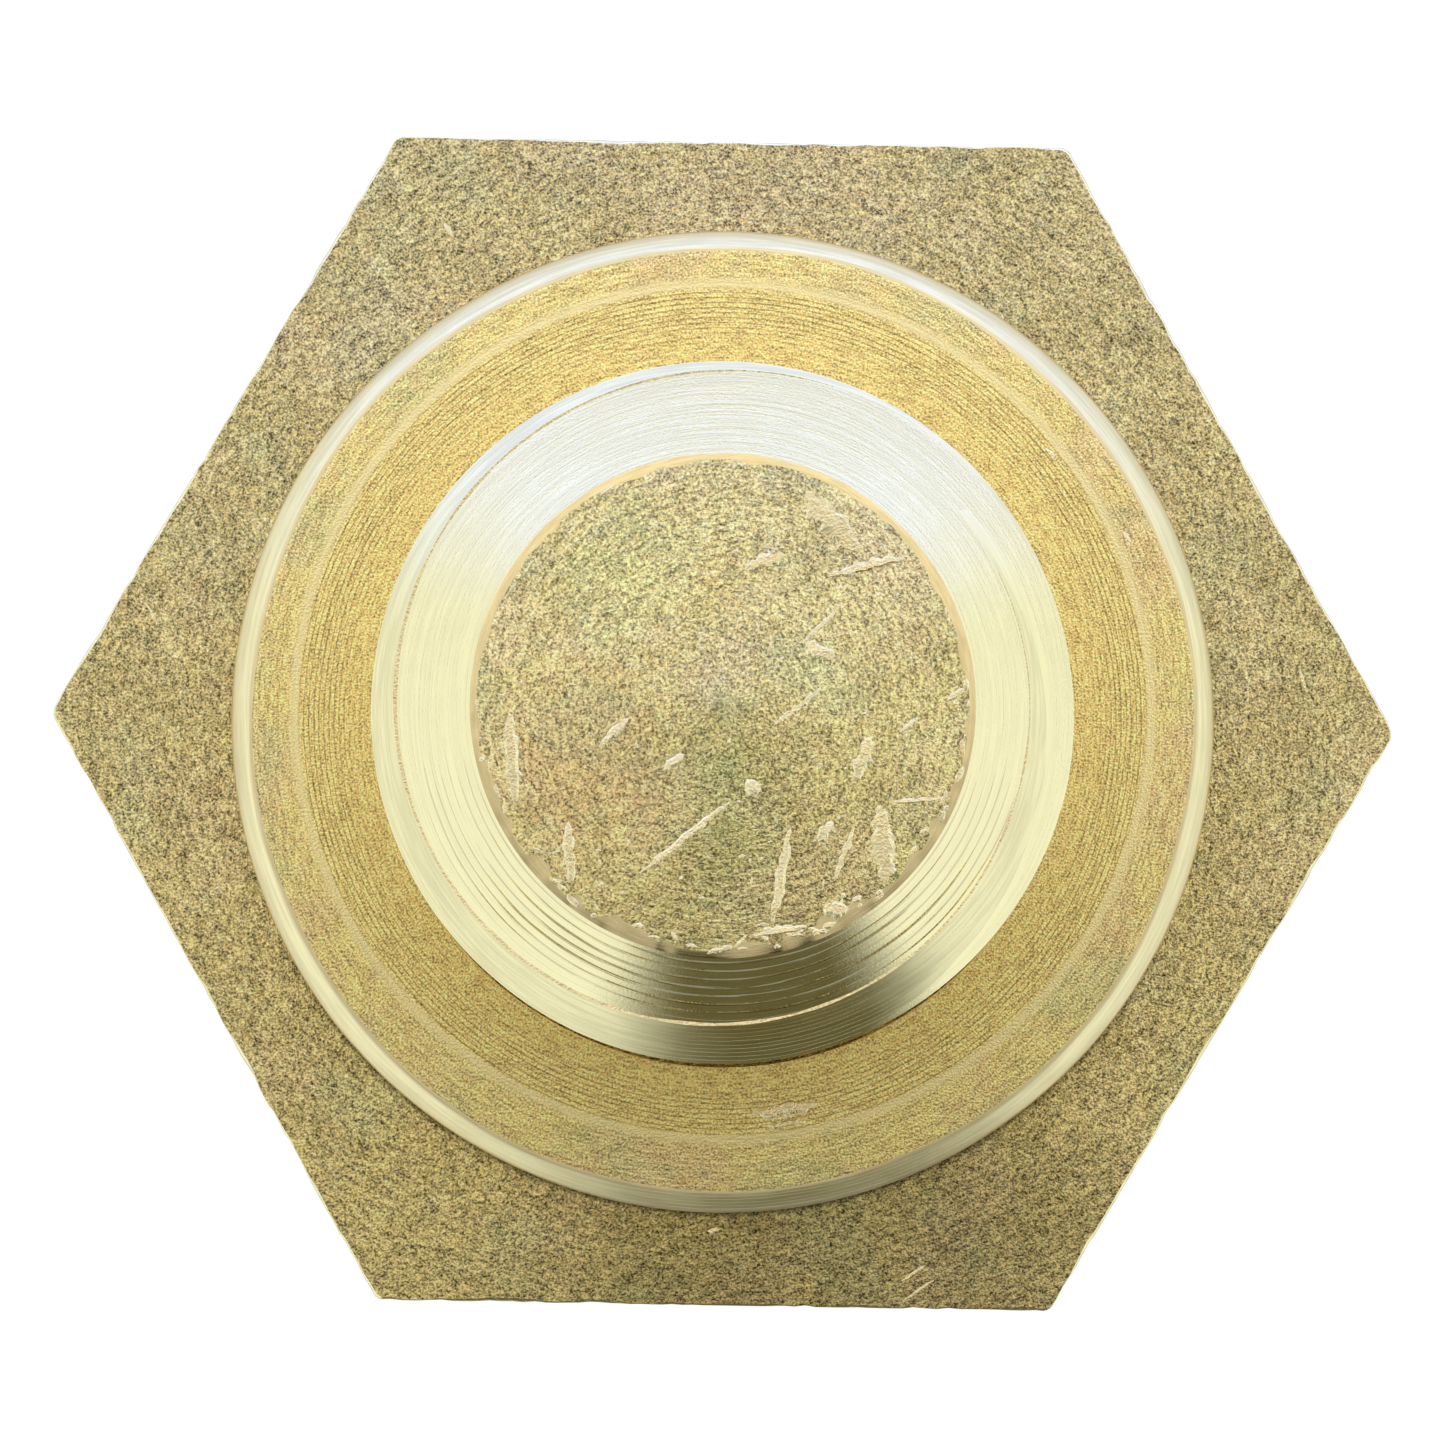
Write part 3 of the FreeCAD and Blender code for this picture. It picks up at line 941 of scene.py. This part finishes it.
# ---------------------------------------------------------------- operators

class PLUG_OT_finishes(bpy.types.Operator):
    """Make the shared effects that every brass surface uses"""

    bl_idname = "plug.finishes"
    bl_label = "Make Finishes"

    def execute(self, context):
        turning_marks_group()
        lathe_grooves_group()
        open_front_group()
        sand_grain_group()
        tarnish_group()
        return {"FINISHED"}


class PLUG_OT_body(bpy.types.Operator):
    """Build the hexagon head and threaded shank as one turned piece"""

    bl_idname = "plug.body"
    bl_label = "Build Plug Body"

    def execute(self, context):
        shape, finish = context.scene.plug_shape, context.scene.plug_finish
        skin = Skin(column_angles())
        flat_half = shape.head_flats / 2
        corner = flat_half / math.cos(math.radians(30))
        from_flat = skin.angles % math.radians(60) - math.radians(30)
        outline = np.minimum(flat_half / np.cos(from_flat), corner - CORNER_SHORT)
        outline = outline - OUTLINE_RAG * np.clip(ring_noise(skin.angles, 230, 5), 0, 1)
        wear = np.clip(1 + 0.8 * ring_noise(skin.angles, 90, 1), 0.35, 2.0) * shape.edge_round
        bevel_flat = flat_half - shape.bevel_inset
        bevel_top = (outline - bevel_flat) * math.tan(shape.bevel_angle)
        seat = shape.seat_height
        relief = shape.crest_radius - shape.thread_depth - shape.relief_depth
        end = shape.overall_height - shape.nick_height
        rim_height = np.full_like(skin.angles, end - shape.rim_break)
        steps = [(radius, 0.0, 0) for radius in blend_steps(0.4, bevel_flat, 6)]
        steps += [(bevel_flat + (outline - bevel_flat) * part, bevel_top * part, 2)
                  for part in (0.25, 0.5, 0.75, 1.0)]
        steps += [(outline, bevel_top + (seat - wear - bevel_top) * part, 1)
                  for part in blend_steps(0.1, 1.0, 8)]
        steps += [(outline - wear * 0.29, seat - wear * 0.29, 2), (outline - wear, seat, 2)]
        steps += [(outline - wear + (relief - outline + wear) * part, seat, 0)
                  for part in (0.1, 0.25, 0.45, 0.65, 0.85, 1.0)]
        steps += [(relief, seat + shape.relief_length * part, 3) for part in (0.5, 1.0)]
        rows = skin.profile(steps)
        skin.fan(rows[0], 0.0, 0, up=False)
        add_thread(skin, shape, rim_height, 3, 4)
        inner, outer = rim_radii(shape, rim_wear(shape, skin.angles))
        face = [(outer, rim_height, 5), (inner, end, 2)]
        rim = shape.crest_radius - shape.lead_chamfer
        face += [(radius, end, 5) for radius in blend_steps(rim - 0.5, 0.3, 9)]
        rows = skin.profile(face)
        skin.fan(rows[-1], end, 5, up=True)
        materials = [
            head_face_material(shape, finish),
            flats_material(finish),
            bright_turned_material("edge_bright", finish.bright_brass, 0.08, 6.0, 0.14, 0.03, 0.9, 1.05),
            bright_turned_material("thread_cut", finish.bright_brass, 0.07, 4.0, 0.15, 0.03, 0.84, 0.98),
            grooved_material("lead_polished", finish, 0.15, 5.75),
            end_face_material(finish),
        ]
        piece = skin.build("plug_body_turned", materials, SHARP)
        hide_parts("plug_body")
        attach(piece, "plug")
        return {"FINISHED"}


class PLUG_OT_ring(bpy.types.Operator):
    """Build the loose sealing ring that lies on the head"""

    bl_idname = "plug.ring"
    bl_label = "Build Sealing Ring"

    def execute(self, context):
        shape, finish = context.scene.plug_shape, context.scene.plug_finish
        skin = Skin(column_angles())
        foot = shape.seat_height
        top = foot + shape.ring_thickness - INSIDE
        bore = shape.crest_radius + shape.ring_clearance
        outside, chamfer = shape.ring_outside, shape.ring_chamfer
        chamfer = chamfer * (0.9 + 0.08 * ring_noise(skin.angles, 14, 4))
        drop = chamfer * 0.92
        steps = [(bore + BORE_BREAK, foot, 1)]
        steps += [(radius, foot, 1) for radius in blend_steps(bore + 0.6, outside - shape.ring_foot_break, 4)]
        steps += [(outside, foot + shape.ring_foot_break, 1), (outside, top - drop - 0.03, 1),
                  (outside - 0.006, top - drop - 0.008, 2), (outside - 0.024, top - drop + 0.016, 2)]
        steps += [(outside - chamfer * part, top - drop * rise, 2)
                  for part, rise in ((0.12, 0.88), (0.45, 0.55), (0.80, 0.20), (0.92, 0.11), (1.02, 0.055),
                                     (1.14, 0.02), (1.30, 0.0))]
        steps += [(radius, top, 0)
                  for radius in blend_steps(outside - shape.ring_chamfer * 1.5, bore + BORE_BREAK, 10)]
        steps += [(bore, top - BORE_BREAK, 1), (bore, foot + BORE_BREAK, 1),
                  (bore + BORE_BREAK, foot, 1)]
        skin.profile(steps)
        materials = [
            ring_face_material(shape, finish),
            bright_turned_material("ring_side", finish.ring_brass, 0.08, 5.0, 0.20, 0.03, 0.9, 1.05),
            bright_turned_material("ring_chamfer", finish.bright_brass, 0.06, 5.0, 0.34, 0.03, 0.90, 1.06),
        ]
        piece = skin.build("sealing_ring_turned", materials, SHARP)
        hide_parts("sealing_ring")
        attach(piece, "ring")
        return {"FINISHED"}


class PLUG_OT_nicks(bpy.types.Operator):
    """Add scratches and dents to the flat end, the head's face and the ring, and the thread's burr"""

    bl_idname = "plug.nicks"
    bl_label = "Add Nicks"

    def execute(self, context):
        shape = context.scene.plug_shape
        seat, top = shape.seat_height, shape.seat_height + shape.ring_thickness
        rim = shape.crest_radius - shape.lead_chamfer
        end_nicks = nick_mesh("end_nicks", laid_out(END_MARKS, rim) + stray_nicks(shape),
                              lambda x, y: end_height(shape, x, y), shape.nick_height, END_WIDEN)
        head_nicks = nick_mesh("head_nicks", laid_out(HEAD_MARKS, shape.head_flats / 2),
                               lambda x, y: seat, FLAT_CROWN, FLAT_WIDEN)
        ring_nicks = nick_mesh("ring_nicks", laid_out(RING_MARKS, shape.ring_outside),
                               lambda x, y: top - INSIDE, FLAT_CROWN, FLAT_WIDEN)
        for piece, slot, body in ((end_nicks, "body_brass", "plug"), (head_nicks, "body_brass", "plug"),
                                  (burr_mesh(shape), "body_brass", "plug"),
                                  (ring_nicks, "ring_brass", "ring")):
            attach(piece, body)
        return {"FINISHED"}


class PLUG_OT_stage(bpy.types.Operator):
    """Set the pale floor, the soft light tent and the camera"""

    bl_idname = "plug.stage"
    bl_label = "Set Stage"

    def execute(self, context):
        stage, shape = context.scene.plug_stage, context.scene.plug_shape
        make_floor(context, stage)
        make_light(context, stage)
        make_camera(context, stage, shape)
        context.scene.view_settings.view_transform = "Standard"
        return {"FINISHED"}


def make_floor(context, stage):
    """A round pale floor that glows softly, like a light table."""
    skin = Skin(np.radians(np.arange(0, 360, 5)))
    row = skin.row(stage.floor_radius, FLOOR_HEIGHT)
    skin.fan(row, FLOOR_HEIGHT, 0, up=True)
    material, nodes, position = new_material("floor_pale")
    _, direction = polar_parts(nodes, position)
    reflected = place_group(nodes, "open_front", Direction=direction, Shade=stage.shade)["Light"]
    seen = nodes.add("ShaderNodeLightPath").outputs["Is Camera Ray"]
    glow = nodes.mix(seen, nodes.scaled((0.55, 0.60, 0.68), reflected), (0.9, 0.9, 0.9, 1))
    shader = nodes.add("ShaderNodeBsdfPrincipled", inputs={
        "Base Color": (0.25, 0.25, 0.25, 1), "Roughness": 0.9,
        "Emission Color": glow, "Emission Strength": 1.0})
    nodes.add("ShaderNodeOutputMaterial", inputs={"Surface": shader.outputs[0]})
    floor = skin.build("floor", [material], math.radians(30))


def make_light(context, stage):
    """A light tent: bright sides, a softer top, and an open, darker front where the camera stands."""
    world = bpy.data.worlds.new("light_tent")
    world.use_nodes = True
    context.scene.world = world
    nodes = Nodes(world.node_tree)
    direction = nodes.add("ShaderNodeTexCoord").outputs["Generated"]
    parts = nodes.add("ShaderNodeSeparateXYZ", inputs={"Vector": direction}).outputs
    flat = nodes.vector("NORMALIZE", nodes.vector("MULTIPLY", direction, (1, 1, 0)).outputs[0]).outputs[0]
    to_back = nodes.vector("DOT_PRODUCT", flat, (0, 1, 0)).outputs["Value"]
    walls = nodes.mix(nodes.ramp(to_back, 0.30, 0.85), (0.98, 1.15, 1.30, 1), (1.00, 1.29, 2.40, 1))
    walls = nodes.scaled(walls, stage.wall_light)
    overhead = nodes.ramp(parts["Y"], -0.45, 0.45, stage.front_top_light, stage.back_top_light)
    overhead = nodes.scaled((1.0, 0.98, 0.92), overhead)
    tent = nodes.mix(nodes.ramp(parts["Z"], 0.62, 0.90), walls, overhead)
    front = place_group(nodes, "open_front", Direction=flat, Shade=0.0)["Light"]
    front = nodes.math("MAXIMUM", front, nodes.ramp(parts["Z"], 0.92, 0.99))
    shade = nodes.mix(front, (stage.shade, stage.shade * 0.88, stage.shade * 0.45, 1), (1, 1, 1, 1))
    tent = nodes.vector("MULTIPLY", tent, shade).outputs[0]
    lit = nodes.add("ShaderNodeBackground", inputs={"Color": tent, "Strength": 1.0})
    plain = nodes.add("ShaderNodeBackground", inputs={"Color": (1, 1, 1, 1), "Strength": 1.0})
    seen = nodes.add("ShaderNodeLightPath").outputs["Is Camera Ray"]
    either = nodes.add("ShaderNodeMixShader", inputs={"Fac": seen})
    nodes.feed(either.inputs[1], lit.outputs[0])
    nodes.feed(either.inputs[2], plain.outputs[0])
    nodes.add("ShaderNodeOutputWorld", inputs={"Surface": either.outputs[0]})


def make_camera(context, stage, shape):
    """Look straight down the shank, a little from the front."""
    lens = bpy.data.cameras.new("camera")
    lens.sensor_width = 36.0
    lens.lens = lens.sensor_width * stage.camera_distance / stage.frame_width
    lens.clip_start = 0.005
    lens.clip_end = 5.0
    camera = bpy.data.objects.new("camera", lens)
    context.scene.collection.objects.link(camera)
    target = Vector((0, 0, shape.seat_height * MM))
    back = Vector((0, -math.sin(stage.camera_tilt), math.cos(stage.camera_tilt)))
    turn = (-back).to_track_quat("-Z", "Y").to_matrix().to_4x4()
    camera.matrix_world = (Matrix.Translation(target + back * stage.camera_distance * MM) @ turn
                           @ Matrix.Rotation(stage.camera_roll, 4, "Z"))
    context.scene.camera = camera


# ---------------------------------------------------------------- panel and run

OPERATORS = (PLUG_OT_finishes, PLUG_OT_body, PLUG_OT_ring, PLUG_OT_nicks, PLUG_OT_stage)


class PLUG_PT_panel(bpy.types.Panel):
    """Settings and steps of the screw plug"""

    bl_idname = "PLUG_PT_panel"
    bl_label = "Screw Plug"
    bl_space_type = "VIEW_3D"
    bl_region_type = "UI"
    bl_category = "Screw Plug"

    def draw(self, context):
        for group in (context.scene.plug_shape, context.scene.plug_finish, context.scene.plug_stage):
            box = self.layout.box()
            for name in group.__annotations__:
                box.prop(group, name)
        for operator in OPERATORS:
            self.layout.operator(operator.bl_idname)


CLASSES = (PlugShape, PlugFinish, PlugStage, *OPERATORS, PLUG_PT_panel)


def register():
    for cls in CLASSES:
        bpy.utils.register_class(cls)
    bpy.types.Scene.plug_shape = PointerProperty(type=PlugShape)
    bpy.types.Scene.plug_finish = PointerProperty(type=PlugFinish)
    bpy.types.Scene.plug_stage = PointerProperty(type=PlugStage)


def unregister():
    del bpy.types.Scene.plug_stage
    del bpy.types.Scene.plug_finish
    del bpy.types.Scene.plug_shape
    for cls in reversed(CLASSES):
        bpy.utils.unregister_class(cls)


def main():
    register()
    for operator in OPERATORS:
        category, name = operator.bl_idname.split(".")
        getattr(getattr(bpy.ops, category), name)()


if __name__ == "__main__":
    main()
